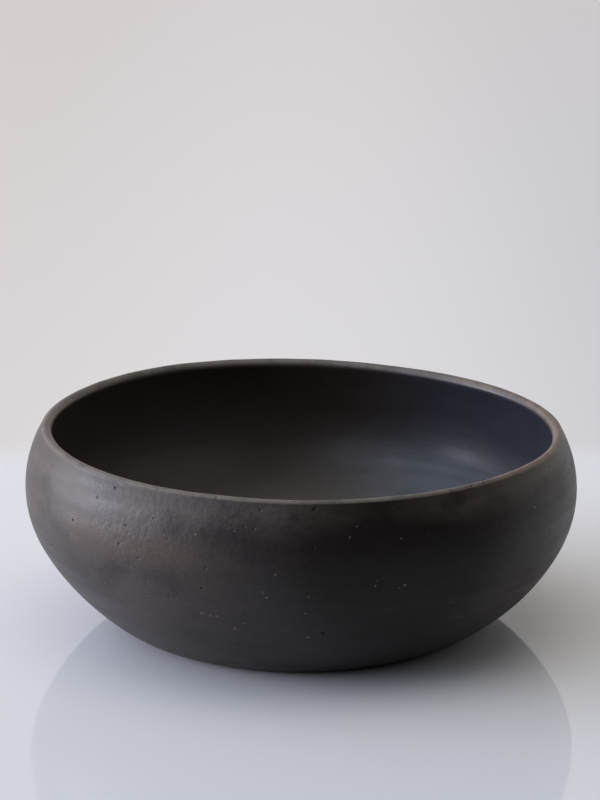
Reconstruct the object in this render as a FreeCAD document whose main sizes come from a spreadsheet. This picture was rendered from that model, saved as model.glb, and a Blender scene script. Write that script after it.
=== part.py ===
"""Black clay bowl: one fired piece with a flat foot, a full belly and a rounded, closed-in rim.

Millimetres, +Z up. The origin is the centre of the face that the bowl rests on, and the bowl
is a body of revolution about Z. The wall's profile is a chain of tangent arcs: flank, haunch
and shoulder outside, the lip's half round on top, and the same three arcs, one wall thickness
in, on the inside.
"""
import FreeCAD, Part
import math
import os
import Sketcher

DRIVING_SIZES = [
    ("belly_radius", 140, "outer radius at the widest level"),
    ("belly_level", 71, "height of the widest level above the foot"),
    ("shoulder_arc", 59, "profile radius from the belly up to the rim"),
    ("haunch_arc", 54, "profile radius just below the belly"),
    ("haunch_sweep", 28, "degrees that the haunch turns before the flank takes over"),
    ("flank_arc", 107, "profile radius of the flatter flank above the foot"),
    ("rim_top", 101.5, "height of the rim's highest line"),
    ("wall", 5.8, "thickness of the clay wall"),
    ("floor_level", 8, "thickness of the clay under the floor"),
    ("foot_round", 25, "radius where the flank turns into the foot"),
    ("floor_round", 60, "radius where the inner wall turns into the floor"),
]

START, END, CENTRE = 1, 2, 3    # the points of a sketch edge, as Sketcher numbers them
ORIGIN = -1                     # the sketch's own origin point, as an edge number
NEAR = 0.01                     # how close an edge's height is to the level it is looked for at


def make_sheet(doc):
    """The spreadsheet of driving dimensions, one row each: value, alias and meaning."""
    sheet = doc.addObject("Spreadsheet::Sheet", "sizes")
    for row, (alias, value, meaning) in enumerate(DRIVING_SIZES, start=1):
        sheet.set(f"A{row}", str(value))
        sheet.setAlias(f"A{row}", alias)
        sheet.set(f"B{row}", meaning)
    doc.recompute()
    return sheet


def origin_feature(body, role):
    """One of the body's own origin planes or axes."""
    return next(item for item in body.Origin.OriginFeatures if item.Role == role)


def line(start, end):
    return Part.LineSegment(FreeCAD.Vector(*start, 0), FreeCAD.Vector(*end, 0))


def arc(centre, radius, start_angle, end_angle):
    """A counter-clockwise arc in the sketch plane, with its angles in degrees."""
    circle = Part.Circle(FreeCAD.Vector(*centre, 0), FreeCAD.Vector(0, 0, 1), radius)
    return Part.ArcOfCircle(circle, math.radians(start_angle), math.radians(end_angle))


def on_circle(centre, radius, angle):
    turn = math.radians(angle)
    return (centre[0] + radius * math.cos(turn), centre[1] + radius * math.sin(turn))


def angle_at_height(centre, radius, height):
    """The angle at which a circle's right half passes a height, in degrees."""
    return math.degrees(math.asin((height - centre[1]) / radius))


def hold(sketch, name, kind, where, value, source):
    """Add a named dimension to the sketch, then bind it to the sheet."""
    index = sketch.addConstraint(Sketcher.Constraint(kind, *where, value))
    sketch.renameConstraint(index, name)
    sketch.setExpression(f"Constraints.{name}", source)


def draw_wall(sketch, sheet):
    """The closed half section of the bowl, drawn to size and then held by constraints."""
    belly_radius = sheet.get("belly_radius")
    belly_level = sheet.get("belly_level")
    shoulder_arc = sheet.get("shoulder_arc")
    haunch_arc = sheet.get("haunch_arc")
    haunch_sweep = sheet.get("haunch_sweep")
    flank_arc = sheet.get("flank_arc")
    wall = sheet.get("wall")
    floor_level = sheet.get("floor_level")

    shoulder_centre = (belly_radius - shoulder_arc, belly_level)
    haunch_centre = (belly_radius - haunch_arc, belly_level)
    flank_centre = on_circle(haunch_centre, haunch_arc - flank_arc, -haunch_sweep)
    lip_level = sheet.get("rim_top") - wall / 2
    lip_angle = angle_at_height(shoulder_centre, shoulder_arc - wall / 2, lip_level)
    lip_centre = on_circle(shoulder_centre, shoulder_arc - wall / 2, lip_angle)
    foot_angle = angle_at_height(flank_centre, flank_arc, 0)
    floor_angle = angle_at_height(flank_centre, flank_arc - wall, floor_level)
    foot_edge = on_circle(flank_centre, flank_arc, foot_angle)
    floor_edge = on_circle(flank_centre, flank_arc - wall, floor_angle)

    foot = sketch.addGeometry(line((0, 0), foot_edge))
    flank = sketch.addGeometry(arc(flank_centre, flank_arc, foot_angle, -haunch_sweep))
    haunch = sketch.addGeometry(arc(haunch_centre, haunch_arc, -haunch_sweep, 0))
    shoulder = sketch.addGeometry(arc(shoulder_centre, shoulder_arc, 0, lip_angle))
    lip = sketch.addGeometry(arc(lip_centre, wall / 2, lip_angle, lip_angle + 180))
    shoulder_in = sketch.addGeometry(arc(shoulder_centre, shoulder_arc - wall, 0, lip_angle))
    haunch_in = sketch.addGeometry(arc(haunch_centre, haunch_arc - wall, -haunch_sweep, 0))
    flank_in = sketch.addGeometry(arc(flank_centre, flank_arc - wall, floor_angle, -haunch_sweep))
    floor = sketch.addGeometry(line(floor_edge, (0, floor_level)))
    middle = sketch.addGeometry(line((0, floor_level), (0, 0)))

    rules = [
        ("Coincident", foot, START, ORIGIN, START),
        ("Horizontal", foot),
        ("Coincident", foot, END, flank, START),
        ("Tangent", flank, END, haunch, START),
        ("Tangent", haunch, END, shoulder, START),
        ("Tangent", shoulder, END, lip, START),
        ("Tangent", lip, END, shoulder_in, END),
        ("Coincident", shoulder_in, START, haunch_in, END),
        ("Tangent", haunch_in, START, flank_in, END),
        ("Coincident", flank_in, START, floor, START),
        ("Horizontal", floor),
        ("Coincident", floor, END, middle, START),
        ("Coincident", middle, END, ORIGIN, START),
        ("Vertical", middle),
        ("Coincident", shoulder_in, CENTRE, shoulder, CENTRE),
        ("Coincident", haunch_in, CENTRE, haunch, CENTRE),
        ("Coincident", flank_in, CENTRE, flank, CENTRE),
        ("Horizontal", haunch, CENTRE, haunch, END),
        ("Horizontal", haunch_in, CENTRE, haunch_in, END),
    ]
    for kind, *where in rules:
        sketch.addConstraint(Sketcher.Constraint(kind, *where))

    belly_point = (ORIGIN, START, haunch, END)
    lip_point = (ORIGIN, START, lip, CENTRE)
    floor_point = (ORIGIN, START, floor, START)
    across_wall = (haunch_in, END, haunch, END)
    turn = math.radians(haunch_sweep)
    hold(sketch, "belly_x", "DistanceX", belly_point, belly_radius, "sizes.belly_radius * 1 mm")
    hold(sketch, "belly_y", "DistanceY", belly_point, belly_level, "sizes.belly_level * 1 mm")
    hold(sketch, "shoulder_r", "Radius", (shoulder,), shoulder_arc, "sizes.shoulder_arc * 1 mm")
    hold(sketch, "haunch_r", "Radius", (haunch,), haunch_arc, "sizes.haunch_arc * 1 mm")
    hold(sketch, "haunch_turn", "Angle", (haunch,), turn, "sizes.haunch_sweep * 1 deg")
    hold(sketch, "flank_r", "Radius", (flank,), flank_arc, "sizes.flank_arc * 1 mm")
    hold(sketch, "wall_x", "DistanceX", across_wall, wall, "sizes.wall * 1 mm")
    hold(sketch, "lip_y", "DistanceY", lip_point, lip_level, "(sizes.rim_top - sizes.wall / 2) * 1 mm")
    hold(sketch, "floor_y", "DistanceY", floor_point, floor_level, "sizes.floor_level * 1 mm")


def outermost_circle(shape, level):
    """The name of the largest round edge that lies flat at a level."""
    flat = []
    for number, edge in enumerate(shape.Edges, start=1):
        box = edge.BoundBox
        if abs(box.ZMin - level) < NEAR and abs(box.ZMax - level) < NEAR:
            flat.append((box.XMax, f"Edge{number}"))
    return max(flat)[1]


def round_edge(body, name, base, level, source):
    """Round the largest circle at a level of the solid, with its radius bound to the sheet."""
    fillet = body.newObject("PartDesign::Fillet", name)
    fillet.Base = (base, [outermost_circle(base.Shape, level)])
    fillet.setExpression("Radius", source)
    body.Document.recompute()
    return fillet


def make_bowl(doc, sheet):
    """The clay body: the wall section turned about Z, then the foot and the floor rounded."""
    body = doc.addObject("PartDesign::Body", "bowl")
    body.Label = "bowl"
    sketch = body.newObject("Sketcher::SketchObject", "wall_section")
    sketch.AttachmentSupport = (origin_feature(body, "XZ_Plane"), [""])
    sketch.MapMode = "FlatFace"
    draw_wall(sketch, sheet)

    turned = body.newObject("PartDesign::Revolution", "turned_clay")
    turned.Profile = sketch
    turned.ReferenceAxis = (origin_feature(body, "Z_Axis"), [""])
    turned.Angle = 360
    doc.recompute()

    foot = round_edge(body, "foot_edge", turned, 0, "sizes.foot_round * 1 mm")
    inside = round_edge(body, "floor_edge", foot, sheet.get("floor_level"), "sizes.floor_round * 1 mm")
    body.Tip = inside
    body.Placement = FreeCAD.Placement()
    return body


def check(doc, parts):
    """Stop if anything in the document failed, or if a sub-part isn't one valid solid."""
    for item in doc.Objects:
        if "Invalid" in item.State or "Error" in item.State:
            raise RuntimeError(f"{item.Name} didn't compute: {item.State}")
    for part in parts:
        shape = part.Shape
        if shape.isNull() or not shape.isValid() or len(shape.Solids) != 1:
            raise RuntimeError(f"{part.Label} isn't one valid solid")


def main():
    doc = FreeCAD.newDocument("black_clay_bowl")
    sheet = make_sheet(doc)
    parts = [make_bowl(doc, sheet)]
    doc.recompute()
    check(doc, parts)
    os.makedirs("parts", exist_ok=True)
    for part in parts:
        part.Shape.exportStep(f"parts/{part.Label}.step")
        box = part.Shape.optimalBoundingBox(True, False)
        size = f"{box.XLength:.1f} x {box.YLength:.1f} x {box.ZLength:.1f} mm"
        print(f"{part.Label}: {size}, {part.Shape.Volume / 1e6:.3f} l of clay")


main()
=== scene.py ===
import math

import bmesh
import bpy
import numpy as np
from mathutils import Matrix, Vector, noise


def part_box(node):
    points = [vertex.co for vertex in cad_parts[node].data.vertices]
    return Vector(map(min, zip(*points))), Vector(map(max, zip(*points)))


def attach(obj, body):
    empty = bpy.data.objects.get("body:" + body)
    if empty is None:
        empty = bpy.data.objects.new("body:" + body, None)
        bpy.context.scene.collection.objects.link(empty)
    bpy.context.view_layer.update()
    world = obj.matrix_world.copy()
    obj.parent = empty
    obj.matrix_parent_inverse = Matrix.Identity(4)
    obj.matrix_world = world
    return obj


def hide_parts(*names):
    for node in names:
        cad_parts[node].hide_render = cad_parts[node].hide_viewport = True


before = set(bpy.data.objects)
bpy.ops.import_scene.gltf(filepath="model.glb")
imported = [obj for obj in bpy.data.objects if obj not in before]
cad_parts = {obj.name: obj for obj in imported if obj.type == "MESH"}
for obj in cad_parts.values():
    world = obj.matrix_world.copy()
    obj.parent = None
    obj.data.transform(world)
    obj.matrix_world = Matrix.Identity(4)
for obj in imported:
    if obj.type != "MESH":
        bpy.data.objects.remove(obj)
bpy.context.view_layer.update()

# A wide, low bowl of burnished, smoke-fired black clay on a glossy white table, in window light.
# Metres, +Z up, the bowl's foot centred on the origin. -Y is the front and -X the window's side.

MM = 0.001
_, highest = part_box("bowl")

# ---------------------------------------------------------------- sizes of the clay wall
BELLY_RADIUS = highest[0]
RIM_TOP = highest[2]
BELLY_LEVEL = 71 * MM
SHOULDER_ARC = 59 * MM
HAUNCH_ARC = 54 * MM
HAUNCH_SWEEP = math.radians(28)
FLANK_ARC = 107 * MM
WALL = 5.8 * MM
FLOOR_LEVEL = 8 * MM
FOOT_ROUND = 25 * MM
FLOOR_ROUND = 60 * MM
LIP_ZONE = math.radians(3.5)        # the shoulder's last stretch, where the mesh is finer
HUB = 6 * MM                        # the foot and the floor are fans of triangles inside this radius
ARC_STEP = 0.2 * MM                 # how far apart the profile's points are on an arc
LEVEL_POINTS = 200                  # how many points of the profile a level stretch has

# ---------------------------------------------------------------- how uneven the hand-made bowl is
LEAN_RIGHT = math.radians(0.87)     # the upper wall dips to the right of its foot
LEAN_BACK = math.radians(0.49)      # and a little to the back
LEAN_START = 2 * MM                 # the lean grows from here
LEAN_FULL = 26 * MM                 # and is complete here
SWELL_LEVEL = 55 * MM               # the rim's rises and dips grow from here up
SWELL_REACH = math.radians(24)      # how far round each of them spreads
RIM_SWELLS = (                      # places where the rim rises or dips: degrees round, mm
    (126, 0.9), (57, -0.6), (-38, 0.9), (-120, -0.4),
)
FOOT_FLAT = 1 * MM                  # the foot's face stays flat up to here
FOOT_FADE = 14 * MM                 # and the outer face is as uneven as the rest from here
LIP_REACH = 5 * MM                  # how far the lip's own unevenness spreads to each side
LIP_PROUD = 0.28                    # mm that the lip stands proud of the wall
COARSE_MIDDLE = -110                # degrees round to the middle of the coarse patch
COARSE_FADE = (38, 16)              # degrees from its middle where it is gone, and where it is full
COARSE_LEVELS = (46 * MM, 66 * MM)  # the levels where it begins, and where it is full

# Pits on the outside: degrees round, mm up, mm long, mm wide, degrees of slant, mm deep.
# Where the first thirteen lie was measured; the rest is chosen.
PITS = (
    (-87.5, 98.5, 3.4, 1.3, 52, 0.80),
    (-132.5, 97.5, 1.9, 1.1, -35, 0.30),
    (-143, 76, 1.7, 1.3, 10, 0.35),
    (-153, 56, 2.0, 1.3, 0, 0.40),
    (-129, 72, 1.7, 1.1, -20, 0.35),
    (-85, 34, 2.7, 1.6, -15, 0.55),
    (-109, 68, 1.5, 1.2, 30, 0.35),
    (-110, 57, 1.8, 1.3, 0, 0.40),
    (-118, 49, 1.4, 1.1, 0, 0.30),
    (-99.5, 89, 1.5, 0.9, 45, 0.30),
    (-101.5, 90, 1.3, 0.9, -20, 0.25),
    (-124, 45, 1.6, 1.0, 10, 0.30),
    (-48, 101.3, 1.8, 1.2, 0, 0.40),
    (-51.5, 101.2, 1.5, 1.0, 0, 0.35),
    (-62, 75, 1.3, 0.9, 0, 0.25),
    (-35, 52, 1.6, 1.1, 15, 0.30),
    (-172, 62, 1.8, 1.2, 0, 0.35),
    (38, 70, 2.0, 1.4, 30, 0.40),
    (112, 84, 1.9, 1.2, -25, 0.40),
)
# Pale grit that the burnishing dragged: degrees round, mm up, mm long, mm wide, degrees of slant.
# Where most of it lies was measured; the rest is chosen.
GRIT = (
    (-69, 60, 1.7, 1.3, 20),
    (-70.2, 58.8, 1.0, 0.6, 40),
    (-97.5, 57.5, 2.6, 0.6, -60),
    (-96.8, 55, 1.4, 1.0, 0),
    (-89, 46.5, 1.2, 1.0, 0),
    (-88.3, 31, 1.6, 1.3, 0),
    (-95, 67.5, 1.0, 0.8, 0),
    (-75, 63.5, 0.9, 0.7, 0),
    (-75.2, 61, 1.2, 0.7, 60),
    (-79, 90.5, 1.2, 0.8, 30),
    (-80.5, 85.5, 1.4, 0.6, 65),
    (-88.5, 56, 0.9, 0.7, 0),
    (-104.4, 34.5, 2.6, 0.6, 70),
    (-102, 38.5, 1.1, 0.8, 0),
    (-111, 42, 3.0, 0.6, -12),
    (-109.2, 41.2, 1.2, 0.8, 0),
    (-107.7, 41.5, 1.6, 0.6, 10),
    (-111.4, 84, 1.2, 0.9, 0),
    (-70, 83.5, 1.0, 0.7, 0),
    (-34.5, 83.5, 1.1, 0.9, 0),
    (-126, 61, 0.9, 0.7, 0),
    (-57, 46, 1.0, 0.8, 0),
    (-160, 70, 1.0, 0.8, 0),
    (64, 60, 1.3, 0.9, 0),
    (140, 48, 1.2, 0.9, 0),
)
PIT_EDGE = 0.75         # how far inside a pit its bottom begins, from 0 on its edge to 1 in its middle
GRIT_EDGE = 0.50        # how far inside a grain it is fully pale


def smoothstep(low, high, value):
    """0 below low, 1 above high, smooth between. Works on numbers and arrays."""
    t = np.clip((value - low) / (high - low), 0.0, 1.0)
    return t * t * (3 - 2 * t)


def stretch_of(s, start, rise, end, fall):
    """1 between start and end, fading in over the distance rise and out over the distance fall."""
    return smoothstep(start, start + rise, s) * smoothstep(end, end - fall, s)


def turn_from(place, angle):
    """How far round each angle is from a place in degrees, at most half a turn either way."""
    return (angle - math.radians(place) + math.pi) % (2 * math.pi) - math.pi


def add_object(name, shape):
    """A new object in the scene, with its mesh made from a bmesh."""
    mesh = bpy.data.meshes.new(name)
    shape.to_mesh(mesh)
    shape.free()
    thing = bpy.data.objects.new(name, mesh)
    bpy.context.collection.objects.link(thing)
    return thing


# ---------------------------------------------------------------- the wall's profile
def arc_run(centre, radius, start, end, facing=1):
    """A dense arc of the profile: points and outward directions. facing is -1 on a hollow face."""
    count = max(3, round(abs(end - start) * radius / ARC_STEP))
    angles = np.linspace(start, end, count)
    ring = np.column_stack([np.cos(angles), np.sin(angles)])
    return np.array(centre) + radius * ring, facing * ring


def level_run(start, end, height, up):
    """A level straight run of the profile between two radii, facing up or down."""
    radii = np.linspace(start, end, LEVEL_POINTS)
    heights = np.full(LEVEL_POINTS, height)
    return np.column_stack([radii, heights]), np.tile((0.0, up), (LEVEL_POINTS, 1))


def corner_round(flank, flank_radius, level, radius):
    """The round between a flank's circle and a level: its centre, and the angle where the two meet."""
    height = level + radius
    x = flank[0] + math.sqrt((flank_radius - radius) ** 2 - (height - flank[1]) ** 2)
    return (x, height), math.atan2(height - flank[1], x - flank[0])


class Wall:
    """The half section as one path, from the foot's middle out, up, over the lip and in to the floor's.

    s is the distance along the path. Each run of it has its own row spacing in the mesh.
    """

    def __init__(self):
        shoulder = (BELLY_RADIUS - SHOULDER_ARC, BELLY_LEVEL)
        haunch = (BELLY_RADIUS - HAUNCH_ARC, BELLY_LEVEL)
        spread = FLANK_ARC - HAUNCH_ARC
        across, up = spread * math.cos(HAUNCH_SWEEP), spread * math.sin(HAUNCH_SWEEP)
        flank = (haunch[0] - across, haunch[1] + up)
        middle_arc = SHOULDER_ARC - WALL / 2
        turn = math.asin((RIM_TOP - WALL / 2 - BELLY_LEVEL) / middle_arc)
        lip = (shoulder[0] + middle_arc * math.cos(turn), shoulder[1] + middle_arc * math.sin(turn))
        foot, foot_turn = corner_round(flank, FLANK_ARC, 0, FOOT_ROUND)
        floor, floor_turn = corner_round(flank, FLANK_ARC - WALL, FLOOR_LEVEL, FLOOR_ROUND)
        down = -math.pi / 2
        runs = [        # name, mm from row to row, and the run's points and directions
            ("foot", 9.0, level_run(HUB, foot[0], 0, -1)),
            ("foot_edge", 2.0, arc_run(foot, FOOT_ROUND, down, foot_turn)),
            ("flank", 1.25, arc_run(flank, FLANK_ARC, foot_turn, -HAUNCH_SWEEP)),
            ("haunch", 1.25, arc_run(haunch, HAUNCH_ARC, -HAUNCH_SWEEP, 0)),
            ("shoulder", 1.2, arc_run(shoulder, SHOULDER_ARC, 0, turn - LIP_ZONE)),
            ("under_lip", 0.6, arc_run(shoulder, SHOULDER_ARC, turn - LIP_ZONE, turn)),
            ("lip", 0.65, arc_run(lip, WALL / 2, turn, turn + math.pi)),
            ("shoulder_in", 2.0, arc_run(shoulder, SHOULDER_ARC - WALL, turn, 0, -1)),
            ("haunch_in", 2.0, arc_run(haunch, HAUNCH_ARC - WALL, 0, -HAUNCH_SWEEP, -1)),
            ("flank_in", 3.0, arc_run(flank, FLANK_ARC - WALL, -HAUNCH_SWEEP, floor_turn, -1)),
            ("floor_edge", 3.5, arc_run(floor, FLOOR_ROUND, floor_turn, down, -1)),
            ("floor", 9.0, level_run(floor[0], HUB, FLOOR_LEVEL, 1)),
        ]
        self.points = np.vstack([points for _, _, (points, _) in runs])
        self.facing = np.vstack([facing for _, _, (_, facing) in runs])
        steps = np.linalg.norm(np.diff(self.points, axis=0), axis=1)
        self.s = np.concatenate([[0.0], np.cumsum(steps)])
        self.span, rows, first = {}, [], 0
        for name, spacing, (points, _) in runs:
            start, end = self.s[first], self.s[first + len(points) - 1]
            first += len(points)
            self.span[name] = (start, end)
            count = max(2, round((end - start) / (spacing * MM)))
            rows.append(np.linspace(start, end, count, endpoint=False))
        self.rows = np.concatenate(rows + [[self.s[-1]]])

    def at(self, s):
        """Radius, height and the outward direction's two parts at distances along the path."""
        columns = (self.points[:, 0], self.points[:, 1], self.facing[:, 0], self.facing[:, 1])
        return [np.interp(s, self.s, column) for column in columns]

    def outside_at(self, height):
        """The distance along the path where the outer face passes a height."""
        crest = self.points[:, 1].argmax()
        return np.interp(height, self.points[:crest + 1, 1], self.s[:crest + 1])


# ---------------------------------------------------------------- the bowl's mesh
SEAM = math.pi / 2                # the sheet's two ends meet at the back
COLUMNS = 460
FRONT_SHARE = 0.66                # this part of the columns is in the front half
MARK_MARGIN = 2.2                 # mm that the finer mesh round a mark is longer than the mark
MARK_CUTS = 3                     # cuts across each of its edges
SAME_ANGLE = 1e-5                 # columns closer than this lie on the seam
SAME_PLACE = 1e-6                 # points closer than this are one
NOISE_SHIFT = (17.3, 5.1, 9.7)    # how far the noise moves from one seed to the next


def column_angles():
    """Angles round the bowl from the seam at the back, closer together in front."""
    back = round(COLUMNS * (1 - FRONT_SHARE) / 2)
    front = COLUMNS - 2 * back
    quarter = math.pi / 2
    parts = [
        np.linspace(0, quarter, back, endpoint=False),
        np.linspace(quarter, 3 * quarter, front, endpoint=False),
        np.linspace(3 * quarter, 4 * quarter, back + 1),
    ]
    return SEAM - 4 * quarter + np.concatenate(parts)


def nearness(angle, s, wall, mark):
    """How deep inside a mark's ellipse each point is: 1 in the middle, 0 on its edge and beyond."""
    round_by, height, length, width, slant = mark[:5]
    height, length, width = height * MM, length * MM, width * MM
    home = wall.outside_at(height)
    radius = wall.at(home)[0]
    along, over = turn_from(round_by, angle) * radius, s - home
    lean = math.radians(slant)
    u = (along * math.cos(lean) + over * math.sin(lean)) / (length / 2)
    v = (over * math.cos(lean) - along * math.sin(lean)) / (width / 2)
    return np.clip(1 - u * u - v * v, 0, 1)


def make_sheet(wall):
    """The wall as a flat sheet of quads, x the angle and y the distance s, finer at every mark."""
    angles, rows = column_angles(), wall.rows
    sheet = bmesh.new()
    grid = [[sheet.verts.new((angle, s, 0)) for angle in angles] for s in rows]
    for below, above in zip(grid, grid[1:]):
        for corner in range(len(angles) - 1):
            quad = (below[corner], below[corner + 1], above[corner + 1], above[corner])
            sheet.faces.new(quad)
    middles = np.array([face.calc_center_median() for face in sheet.faces])
    near = np.zeros(len(middles), bool)
    for mark in PITS + GRIT:
        reach = mark[2] + MARK_MARGIN
        wide = mark[:2] + (reach, reach, 0)
        near |= nearness(middles[:, 0], middles[:, 1], wall, wide) > 0
    sheet.faces.ensure_lookup_table()
    edges = {edge for index in np.flatnonzero(near) for edge in sheet.faces[index].edges}
    bmesh.ops.subdivide_edges(sheet, edges=list(edges), cuts=MARK_CUTS, use_grid_fill=True)
    return sheet


def field(points, scale, seed):
    """Smooth noise from -1 to 1 at each point; scale is (x, y, z) in waves per metre."""
    shift = Vector([seed * part for part in NOISE_SHIFT])
    return np.array([noise.noise(Vector(point * scale) + shift) for point in points])


def pebbled(angle, height):
    """1 on the upper front, left of the middle, where the clay was left coarse, and 0 elsewhere."""
    around = smoothstep(*COARSE_FADE, np.abs(np.degrees(angle) - COARSE_MIDDLE))
    return around * smoothstep(*COARSE_LEVELS, height)


def lean_and_swell(points, angle, height):
    """The points after the rim's rises and dips and the lean of the upper wall."""
    rise = smoothstep(SWELL_LEVEL, RIM_TOP, height)
    for place, lift in RIM_SWELLS:
        points[:, 2] += lift * MM * rise * np.exp(-(turn_from(place, angle) / SWELL_REACH) ** 2)

    lean = smoothstep(LEAN_START, LEAN_FULL, height)[:, None]
    pivot = np.array([0, 0, BELLY_LEVEL])
    rotation = Matrix.Rotation(-LEAN_BACK, 3, "X") @ Matrix.Rotation(LEAN_RIGHT, 3, "Y")
    leaned = (points - pivot) @ np.array(rotation).T + pivot
    return points * (1 - lean) + leaned * lean


def shape_wall(wall, angle, s):
    """Where each point of the sheet lies on the finished bowl, and how worn, pitted and gritty it is."""
    radius, height, out, up = wall.at(s)
    across = np.column_stack([np.cos(angle), np.sin(angle)])
    points = np.column_stack([across * radius[:, None], height])
    facing = np.column_stack([across * out[:, None], up])

    lip_start, lip_end = wall.span["lip"]
    outside = 1 - smoothstep(lip_start, lip_end, s)
    inside = smoothstep(lip_end, wall.span["shoulder_in"][1], s)
    over_lip = np.exp(-((s - (lip_start + lip_end) / 2) / LIP_REACH) ** 2)
    proud = stretch_of(s, lip_start - 0.4 * MM, 1.6 * MM, lip_end, 2 * MM)
    worn = stretch_of(s, lip_start, 1.4 * MM, lip_end, 5 * MM)
    pits = [smoothstep(0, PIT_EDGE, nearness(angle, s, wall, mark)) for mark in PITS]
    grains = [smoothstep(0, GRIT_EDGE, nearness(angle, s, wall, mark)) for mark in GRIT]

    layers = (      # mm of relief, waves per metre along x, y and z, and where it shows
        (0.32, (18, 18, 24), 1.0),
        (0.05, (22, 22, 150), outside),
        (0.07, (230, 230, 260), pebbled(angle, height) * outside),
        (0.45, (26, 26, 40), inside),
        (0.16, (75, 75, 75), over_lip),
    )
    relief = LIP_PROUD * proud
    for seed, (size, waves, where) in enumerate(layers, start=1):
        relief += size * field(points, waves, seed) * where
    for mark, depth in zip(PITS, pits):
        relief -= mark[5] * depth
    off_foot = np.where(outside > 0.5, smoothstep(FOOT_FLAT, FOOT_FADE, height), 1.0)
    points += facing * (relief * MM * off_foot)[:, None]

    marks = {"worn": worn, "pit": np.max(pits, axis=0), "grit": np.max(grains, axis=0), "outside": outside}
    return lean_and_swell(points, angle, height), marks


def weld_seam(sheet, angles):
    """Join the sheet's first and last columns, which lie on each other at the back."""
    from_seam = np.pi - np.abs(angles - SEAM + np.pi)
    seam = [vertex for vertex, gap in zip(sheet.verts, from_seam) if abs(gap) < SAME_ANGLE]
    bmesh.ops.remove_doubles(sheet, verts=seam, dist=SAME_PLACE)


def close_middles(sheet):
    """Fans of triangles over the holes in the middle of the foot and of the floor."""
    open_edges = [edge for edge in sheet.edges if edge.is_boundary]
    for low in (True, False):
        ring = [edge for edge in open_edges if (edge.verts[0].co.z < FLOOR_LEVEL / 2) == low]
        height = 0.0 if low else sum(edge.verts[0].co.z for edge in ring) / len(ring)
        middle = sheet.verts.new((0, 0, height))
        for edge in ring:
            sheet.faces.new((edge.verts[0], edge.verts[1], middle))


def make_bowl():
    """The whole bowl as one closed mesh, with what the material needs to know at each vertex."""
    wall = Wall()
    sheet = make_sheet(wall)
    flat = np.array([vertex.co for vertex in sheet.verts])
    points, marks = shape_wall(wall, flat[:, 0], flat[:, 1])
    layers = {name: sheet.verts.layers.float.new(name) for name in marks}
    for index, vertex in enumerate(sheet.verts):
        vertex.co = points[index]
        for name, layer in layers.items():
            vertex[layer] = marks[name][index]
    weld_seam(sheet, flat[:, 0])
    close_middles(sheet)
    bmesh.ops.recalc_face_normals(sheet, faces=sheet.faces)
    bowl = add_object("clay_bowl", sheet)
    bowl.data.shade_smooth()
    return bowl


# ---------------------------------------------------------------- node helpers
class Nodes:
    """A short way to write a node tree."""

    def __init__(self, tree):
        self.tree = tree
        tree.nodes.clear()

    def add(self, kind, inputs=None, **settings):
        """A node with its settings, and its inputs given as numbers or as other nodes' outputs."""
        node = self.tree.nodes.new(kind)
        for name, value in settings.items():
            setattr(node, name, value)
        for name, value in (inputs or {}).items():
            self.plug(node.inputs[name], value)
        return node

    def plug(self, socket, value):
        if isinstance(value, bpy.types.NodeSocket):
            self.tree.links.new(value, socket)
        else:
            socket.default_value = value

    def mark(self, name):
        """One of the mesh's own per-vertex numbers."""
        return self.add("ShaderNodeAttribute", attribute_name=name).outputs["Fac"]

    def stretch(self, vector, scale):
        """The vector scaled along each axis."""
        return self.add("ShaderNodeVectorMath", {0: vector, 1: scale}, operation="MULTIPLY").outputs[0]

    def noise(self, vector, scale, detail=3.0, roughness=0.5):
        inputs = {"Vector": vector, "Scale": scale, "Detail": detail, "Roughness": roughness}
        return self.add("ShaderNodeTexNoise", inputs).outputs["Fac"]

    def spots(self, vector, scale):
        """Distance to the nearest random point, and that point's own random number."""
        node = self.add("ShaderNodeTexVoronoi", {"Vector": vector, "Scale": scale})
        return node.outputs["Distance"], node.outputs["Color"]

    def distance(self, vector, centre):
        """How far the vector is from a fixed point."""
        node = self.add("ShaderNodeVectorMath", {0: vector, 1: centre}, operation="DISTANCE")
        return node.outputs["Value"]

    def ramp(self, value, low, high, start=0.0, end=1.0):
        """value's range low to high, smoothly turned into start to end and held outside it."""
        inputs = {"Value": value, "From Min": low, "From Max": high, "To Min": start, "To Max": end}
        return self.add("ShaderNodeMapRange", inputs, interpolation_type="SMOOTHSTEP").outputs["Result"]

    def math(self, operation, first, second=0.0):
        return self.add("ShaderNodeMath", {0: first, 1: second}, operation=operation).outputs[0]

    def product(self, *values):
        total = values[0]
        for value in values[1:]:
            total = self.math("MULTIPLY", total, value)
        return total

    def total(self, *values):
        total = values[0]
        for value in values[1:]:
            total = self.math("ADD", total, value)
        return total

    def blend(self, amount, first, second):
        """Two colours mixed. 0, 6, 7 and 2 are where a mix node keeps its colour sockets."""
        node = self.add("ShaderNodeMix", data_type="RGBA")
        for index, value in ((0, amount), (6, first), (7, second)):
            if isinstance(value, tuple):
                value = value + (1.0,)
            self.plug(node.inputs[index], value)
        return node.outputs[2]


def new_material(name):
    """A material, and its empty node tree ready for writing."""
    material = bpy.data.materials.new(name)
    material.use_nodes = True
    return material, Nodes(material.node_tree)


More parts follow.
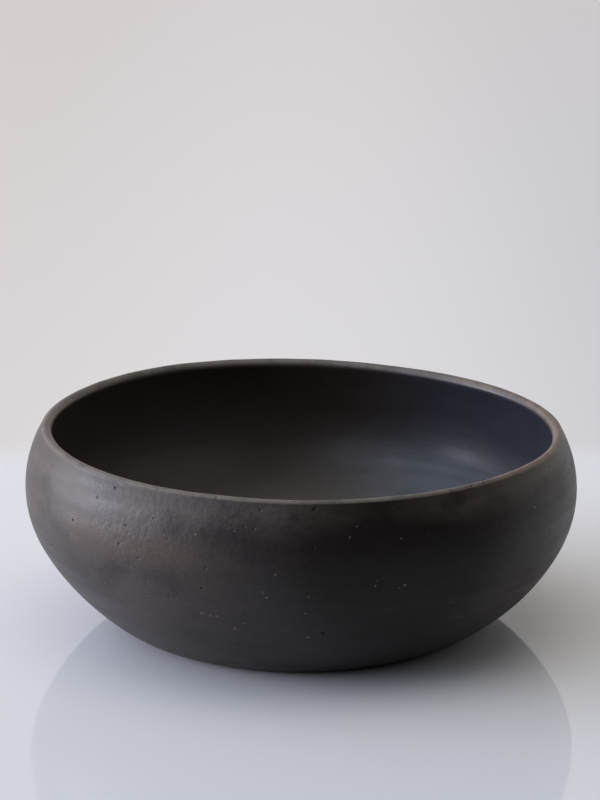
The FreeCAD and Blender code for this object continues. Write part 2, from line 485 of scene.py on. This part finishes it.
# ---------------------------------------------------------------- the clay
BLACK_CLAY = (0.0160, 0.0110, 0.0094)
BROWN_CLAY = (0.0220, 0.0146, 0.0118)
RED_PATCH = (0.030, 0.0200, 0.0150)
GREY_STREAK = (0.032, 0.0250, 0.0225)
GREY_MOTTLE = (0.034, 0.0270, 0.0240)
INNER_DARK = (0.0420, 0.0275, 0.0215)
INNER_BROWN = (0.0480, 0.0345, 0.0245)
# painted light on the inside's left, and a painted blue-grey reflection of the window on its right
INNER_LEFT_PAINTED_LIGHT = (0.0780, 0.0600, 0.0520)
INNER_RIGHT_PAINTED_REFLECTION = (0.0310, 0.0345, 0.0480)
# painted light: a paler grey on the window's side
PAINTED_LIGHT_GREY = (0.0540, 0.0430, 0.0395)
# painted shade: a near black right of the front
PAINTED_SHADE_BLACK = (0.0068, 0.0043, 0.0040)
BLUSH_BROWN = (0.066, 0.0450, 0.0320)
# painted light: a paler band where the shoulder under the lip faces up
SHOULDER_PAINTED_LIGHT = (0.080, 0.0630, 0.0535)
# smoke-blackened blotches, and painted shade in a thin line under the lip
SOOT_AND_SHADE = (0.0085, 0.0060, 0.0055)
LIP_GREY = (0.150, 0.1270, 0.1080)
LIP_RED = (0.165, 0.1150, 0.0880)
# painted shade in the small pits and the placed pits
SMALL_PIT_PAINTED_SHADE = (0.006, 0.005, 0.005)
PIT_PAINTED_SHADE = (0.007, 0.005, 0.005)
GRIT_WHITE = (0.21, 0.19, 0.175)

PAINTED_LIGHT_PLACE = (-0.118, -0.075, 0.080)       # the middle of the painted light, a paler cloud on the window's side
PAINTED_SHADE_PLACE = (0.050, -0.131, 0.075)        # of the painted shade, a darker cloud right of the front
COARSE_PLACE = (-0.052, -0.130, 0.084)      # and of the coarse patch
CLAY_IOR = 1.42
BUMP_HEIGHT = 0.22 * MM                     # how high the relief's full range is


class Clay:
    """What the clay's colour, gloss and relief share: where a point is, and the clouds and marks on it."""

    def __init__(self, n):
        self.place = n.add("ShaderNodeTexCoord").outputs["Object"]
        self.across, _, self.height = n.add("ShaderNodeSeparateXYZ", {0: self.place}).outputs
        names = ("worn", "pit", "grit", "outside")
        self.worn, self.pit, self.grit, self.outside = (n.mark(name) for name in names)
        self.within = n.math("SUBTRACT", 1.0, self.outside)

        # noise from broad to fine: clouds, patches, level streaks and strokes, mottling
        self.clouds = n.noise(self.place, 14, 4, 0.55)
        self.patches = n.noise(n.stretch(self.place, (1.0, 1.0, 1.6)), 34, 4, 0.6)
        self.streaks = n.noise(n.stretch(self.place, (1.0, 1.0, 9.0)), 26, 5, 0.6)
        self.burnish = n.noise(n.stretch(self.place, (13, 13, 230)), 1.0, 4, 0.55)
        self.mottle = n.noise(self.place, 260, 3, 0.6)

        # the three places that differ from the rest of the outside
        self.painted_light_left = self.around(n, PAINTED_LIGHT_PLACE, 130 * MM, 45 * MM)
        self.painted_shade_front = self.around(n, PAINTED_SHADE_PLACE, 85 * MM, 30 * MM)
        self.coarse = self.around(n, COARSE_PLACE, 95 * MM, 40 * MM)

        # where the lip is rubbed, and the grit and pits: the placed ones, and small ones everywhere
        patchy = n.ramp(n.noise(self.place, 75, 4, 0.6), 0.36, 0.60, 0.50, 1.0)
        self.rubbed = n.product(n.ramp(self.worn, 0.10, 0.90), patchy)
        grit_far, grit_own = n.spots(self.place, 70)
        pit_far, pit_own = n.spots(n.stretch(self.place, (1.0, 1.0, 1.3)), 130)
        small_grit = n.product(n.ramp(grit_far, 0.045, 0.020), n.ramp(grit_own, 0.50, 0.55), self.outside)
        self.small_pit = n.product(n.ramp(pit_far, 0.130, 0.050), n.ramp(pit_own, 0.50, 0.55), self.outside)
        placed_grit = n.product(self.grit, n.ramp(self.mottle, 0.30, 0.55, 0.35, 1.0))
        self.pale = n.math("MAXIMUM", n.product(small_grit, 0.3), placed_grit)

    def around(self, n, middle, none, full):
        """1 within the distance full of a point on the outside, and 0 beyond the distance none."""
        return n.product(n.ramp(n.distance(self.place, middle), none, full), self.outside)


def clay_colour(n, clay):
    """Clouded brown-black, paler and redder in places, with smoke-blackened blotches, a worn lip and grit;
    painted light on the window's side, under the lip and inside, painted shade right of the front, under
    the lip and in the pits, and a painted reflection inside.
    """
    across, height, outside, patches = clay.across, clay.height, clay.outside, clay.patches

    # fired clay: brown-black, with redder patches, greyer streaks and fine mottling
    colour = n.blend(n.ramp(clay.clouds, 0.40, 0.60), BLACK_CLAY, BROWN_CLAY)
    colour = n.blend(n.ramp(patches, 0.50, 0.72, 0.0, 0.45), colour, RED_PATCH)
    colour = n.blend(n.ramp(clay.streaks, 0.48, 0.70, 0.0, 0.25), colour, GREY_STREAK)
    colour = n.blend(n.ramp(clay.mottle, 0.45, 0.75, 0.0, 0.35), colour, GREY_MOTTLE)

    # the inside, with painted light making it paler on the left, and a painted blue-grey reflection of the
    # window on the right
    inner = n.blend(n.ramp(clay.clouds, 0.38, 0.62), INNER_DARK, INNER_BROWN)
    inner = n.blend(n.ramp(across, -20 * MM, -85 * MM), inner, INNER_LEFT_PAINTED_LIGHT)
    inner = n.blend(n.ramp(across, 10 * MM, 90 * MM), inner, INNER_RIGHT_PAINTED_REFLECTION)
    colour = n.blend(n.product(clay.within, 0.85), colour, inner)

    # painted light, a paler cloud on the window's side, and painted shade, a darker cloud right of the
    # front
    painted_light_left = n.product(clay.painted_light_left, n.ramp(patches, 0.30, 0.70, 0.7, 1.0))
    colour = n.blend(painted_light_left, colour, PAINTED_LIGHT_GREY)
    colour = n.blend(n.product(clay.painted_shade_front, 0.85), colour, PAINTED_SHADE_BLACK)

    # a brown blush round the belly on the window's side
    band = n.product(n.ramp(height, 62 * MM, 74 * MM), n.ramp(height, 88 * MM, 76 * MM))
    side = n.ramp(across, -20 * MM, -80 * MM)
    blush = n.product(band, side, n.ramp(patches, 0.35, 0.65, 0.25, 0.9), outside)
    colour = n.blend(blush, colour, BLUSH_BROWN)

    # painted light on the upward-facing shoulder under the lip, on both sides of the painted shade
    right = n.ramp(across, 30 * MM, 85 * MM, 0.0, 0.85)
    left = n.ramp(across, 50 * MM, -30 * MM)
    shoulder_light = n.product(n.ramp(height, 82 * MM, 99 * MM), n.math("MAXIMUM", right, left), outside)
    colour = n.blend(n.product(shoulder_light, n.ramp(patches, 0.35, 0.60, 0.45, 0.9)), colour, SHOULDER_PAINTED_LIGHT)

    # smoke black that stayed in blotches, and painted shade in a thin line just under the lip
    under_lip = n.product(n.ramp(height, 95 * MM, 97.5 * MM), n.ramp(clay.worn, 0.30, 0.0), outside)
    soot_and_shade = n.math("MAXIMUM", n.ramp(patches, 0.54, 0.34, 0.0, 0.50), n.product(under_lip, 0.25))
    colour = n.blend(n.product(soot_and_shade, outside), colour, SOOT_AND_SHADE)

    # the lip, worn back to paler clay, and redder on the right; then painted shade in the pits, and the
    # grit
    lip = n.blend(n.ramp(across, 60 * MM, 120 * MM), LIP_GREY, LIP_RED)
    colour = n.blend(clay.rubbed, colour, lip)
    colour = n.blend(n.product(clay.small_pit, 0.4), colour, SMALL_PIT_PAINTED_SHADE)
    colour = n.blend(n.product(clay.pit, 0.6), colour, PIT_PAINTED_SHADE)
    return n.blend(n.product(clay.pale, 0.8), colour, GRIT_WHITE)


def clay_roughness(n, clay):
    """Smooth burnished strokes with duller ones between; duller still on the coarse patch and the lip."""
    strokes = n.ramp(clay.burnish, 0.35, 0.65, 0.41, 0.48)
    blotches = n.ramp(clay.patches, 0.35, 0.65, -0.03, 0.05)
    return n.total(
        strokes,
        blotches,
        n.product(clay.coarse, 0.04),
        n.product(clay.rubbed, 0.10),
        n.product(clay.within, -0.04),
    )


def clay_relief(n, clay):
    """Grain and strokes everywhere, pebbles on the coarse patch, and the pits and grit."""
    pebble = n.noise(clay.place, 330, 2, 0.55)
    grain = n.noise(clay.place, 900, 3, 0.6)
    return n.total(
        n.product(pebble, n.math("ADD", n.product(clay.coarse, 1.1), 0.18)),
        n.product(grain, 0.24),
        n.product(clay.burnish, 0.22),
        n.product(clay.small_pit, -1.3),
        n.product(clay.pit, n.product(grain, -1.5)),
        n.product(clay.pale, 0.5),
    )


def clay_material():
    """Burnished, smoke-fired clay with a satin sheen, duller right of the front where shade is painted, and
    glossier inside.
    """
    material, n = new_material("black_clay")
    clay = Clay(n)
    relief = {"Strength": 1.0, "Distance": BUMP_HEIGHT, "Height": clay_relief(n, clay)}
    bump = n.add("ShaderNodeBump", relief).outputs["Normal"]
    # less gloss right of the front, where shade is painted into the colour, and more gloss inside
    gloss = n.total(n.ramp(clay.painted_shade_front, 0.0, 1.0, 0.5, 0.28), n.product(clay.within, 0.24))
    shader = n.add("ShaderNodeBsdfPrincipled")
    shader.inputs["IOR"].default_value = CLAY_IOR
    n.plug(shader.inputs["Specular IOR Level"], gloss)
    n.plug(shader.inputs["Base Color"], clay_colour(n, clay))
    n.plug(shader.inputs["Roughness"], clay_roughness(n, clay))
    n.plug(shader.inputs["Normal"], bump)
    n.add("ShaderNodeOutputMaterial", {"Surface": shader.outputs[0]})
    return material


# ---------------------------------------------------------------- table, light and camera
FLOOR_RADIUS = 7.0
TABLE_BACK = 0.29        # where the glossy table ends and the pale backdrop sheet begins
TABLE_BLUR = 0.03        # how soft that line is, to each side
TABLE_WHITE = (0.755, 0.755, 0.777, 1)
# the backdrop sheet's colours hold painted light and shade: darker towards the window and on the right,
# paler in the middle and far back
SHEET_LEFT_PAINTED_SHADE = (0.778, 0.720, 0.666)
SHEET_MIDDLE_PAINTED_LIGHT = (0.836, 0.795, 0.755)
SHEET_RIGHT_PAINTED_SHADE = (0.725, 0.705, 0.690)
SHEET_FAR_PAINTED_LIGHT = (0.898, 0.791, 0.728)

WINDOW_PLACE = (-2.0, 0.0, 0.40)
WINDOW_WIDTH = 1.6
WINDOW_HEIGHT = 0.65
WINDOW_RADIANCE = 12.4
WINDOW_LIGHT = (0.88, 0.88, 1.0)

WALL_GLOW = (1.00, 0.96, 0.92)      # light from low behind the bowl
OVERHEAD = (1.28, 1.22, 1.10)       # from straight above
SKY_GLOW = (1.50, 1.69, 2.08)       # from high on the window's side
RIGHT_GLOW = (0.26, 0.26, 0.26)     # from high on the right
BACK_GLOW = (0.08, 0.08, 0.08)      # and from high behind

CAMERA_PITCH = math.radians(16.06)
CAMERA_DISTANCE = 2.036
CAMERA_AIM = Vector((-0.6 * MM, 0, 69.2 * MM))
AIM_BELOW = 0.0217       # the aim point is this far below the frame's centre, as a slope
LENS, SENSOR = 180, 36   # mm


def make_floor():
    """A wide disc: glossy white round the bowl, matt and slightly warm beyond the table's back edge, with
    painted light and shade in the backdrop's colour.
    """
    disc = bmesh.new()
    bmesh.ops.create_circle(disc, cap_ends=True, segments=96, radius=FLOOR_RADIUS)
    floor = add_object("floor", disc)

    material, n = new_material("pale_floor")
    place = n.add("ShaderNodeTexCoord").outputs["Object"]
    across, back, _ = n.add("ShaderNodeSeparateXYZ", {0: place}).outputs
    table = n.add("ShaderNodeBsdfPrincipled")
    table.inputs["Base Color"].default_value = TABLE_WHITE
    table.inputs["Roughness"].default_value = 0.05
    table.inputs["Specular IOR Level"].default_value = 0.36
    # painted light and shade across the backdrop sheet
    colour = n.blend(n.ramp(across, -0.25, 0.0), SHEET_LEFT_PAINTED_SHADE, SHEET_MIDDLE_PAINTED_LIGHT)
    colour = n.blend(n.ramp(across, 0.02, 0.26), colour, SHEET_RIGHT_PAINTED_SHADE)
    colour = n.blend(n.ramp(back, 0.4, 2.3, 0.0, 0.5), colour, SHEET_FAR_PAINTED_LIGHT)
    sheet = n.add("ShaderNodeBsdfPrincipled")
    n.plug(sheet.inputs["Base Color"], colour)
    sheet.inputs["Roughness"].default_value = 0.9
    sheet.inputs["Specular IOR Level"].default_value = 0.0
    beyond = n.ramp(back, TABLE_BACK - TABLE_BLUR, TABLE_BACK + TABLE_BLUR)
    both = n.add("ShaderNodeMixShader", {0: beyond, 1: table.outputs[0], 2: sheet.outputs[0]})
    n.add("ShaderNodeOutputMaterial", {"Surface": both.outputs[0]})
    floor.data.materials.append(material)


def make_window():
    """An upright soft window low on the left, facing right, which the camera doesn't see."""
    data = bpy.data.lights.new("window", "AREA")
    data.shape = "RECTANGLE"
    data.size, data.size_y = WINDOW_HEIGHT, WINDOW_WIDTH
    data.energy = WINDOW_RADIANCE * math.pi * WINDOW_WIDTH * WINDOW_HEIGHT
    data.color = WINDOW_LIGHT
    light = bpy.data.objects.new("window", data)
    light.location = WINDOW_PLACE
    light.rotation_euler = (0, -math.pi / 2, 0)
    light.visible_camera = False
    bpy.context.collection.objects.link(light)


def make_room():
    """The light of the room: from low behind, from above, from high on the left, and a little elsewhere."""
    world = bpy.data.worlds.new("room")
    world.use_nodes = True
    n = Nodes(world.node_tree)
    towards = n.add("ShaderNodeTexCoord").outputs["Generated"]
    across, back, up = n.add("ShaderNodeSeparateXYZ", {0: towards}).outputs
    half_way_up = n.product(n.ramp(up, 0.20, 0.50), n.ramp(up, 0.97, 0.80))
    shares = (
        (n.product(n.ramp(back, -0.1, 0.85), n.ramp(up, 0.50, 0.26)), WALL_GLOW),
        (n.ramp(up, 0.80, 0.97), OVERHEAD),
        (n.product(half_way_up, n.ramp(across, -0.1, -0.6)), SKY_GLOW),
        (n.product(half_way_up, n.ramp(across, 0.1, 0.6)), RIGHT_GLOW),
        (n.product(half_way_up, n.ramp(back, 0.0, 0.5)), BACK_GLOW),
    )
    light = (0.0, 0.0, 0.0)
    for share, colour in shares:
        lit = n.add("ShaderNodeVectorMath", {0: colour}, operation="SCALE")
        n.plug(lit.inputs["Scale"], share)
        light = n.add("ShaderNodeVectorMath", {0: light, 1: lit.outputs[0]}, operation="ADD").outputs[0]
    shade = n.add("ShaderNodeBackground", {"Color": light, "Strength": 1.0})
    n.add("ShaderNodeOutputWorld", {"Surface": shade.outputs[0]})
    bpy.context.scene.world = world


def make_camera():
    """A long lens in front of the bowl, looking down at it by the photograph's angle."""
    data = bpy.data.cameras.new("camera")
    data.lens, data.sensor_width = LENS, SENSOR
    forward = Vector((0, math.cos(CAMERA_PITCH), -math.sin(CAMERA_PITCH)))
    upward = Vector((0, math.sin(CAMERA_PITCH), math.cos(CAMERA_PITCH)))
    camera = bpy.data.objects.new("camera", data)
    camera.location = CAMERA_AIM - CAMERA_DISTANCE * (forward - AIM_BELOW * upward)
    camera.rotation_euler = forward.to_track_quat("-Z", "Y").to_euler()
    bpy.context.collection.objects.link(camera)
    bpy.context.scene.camera = camera


# ---------------------------------------------------------------- the scene
bowl = make_bowl()
bowl.data.materials.append(clay_material())
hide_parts("bowl")
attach(bowl, "root")

make_floor()
make_window()
make_room()
make_camera()
bpy.context.scene.view_settings.view_transform = "Standard"
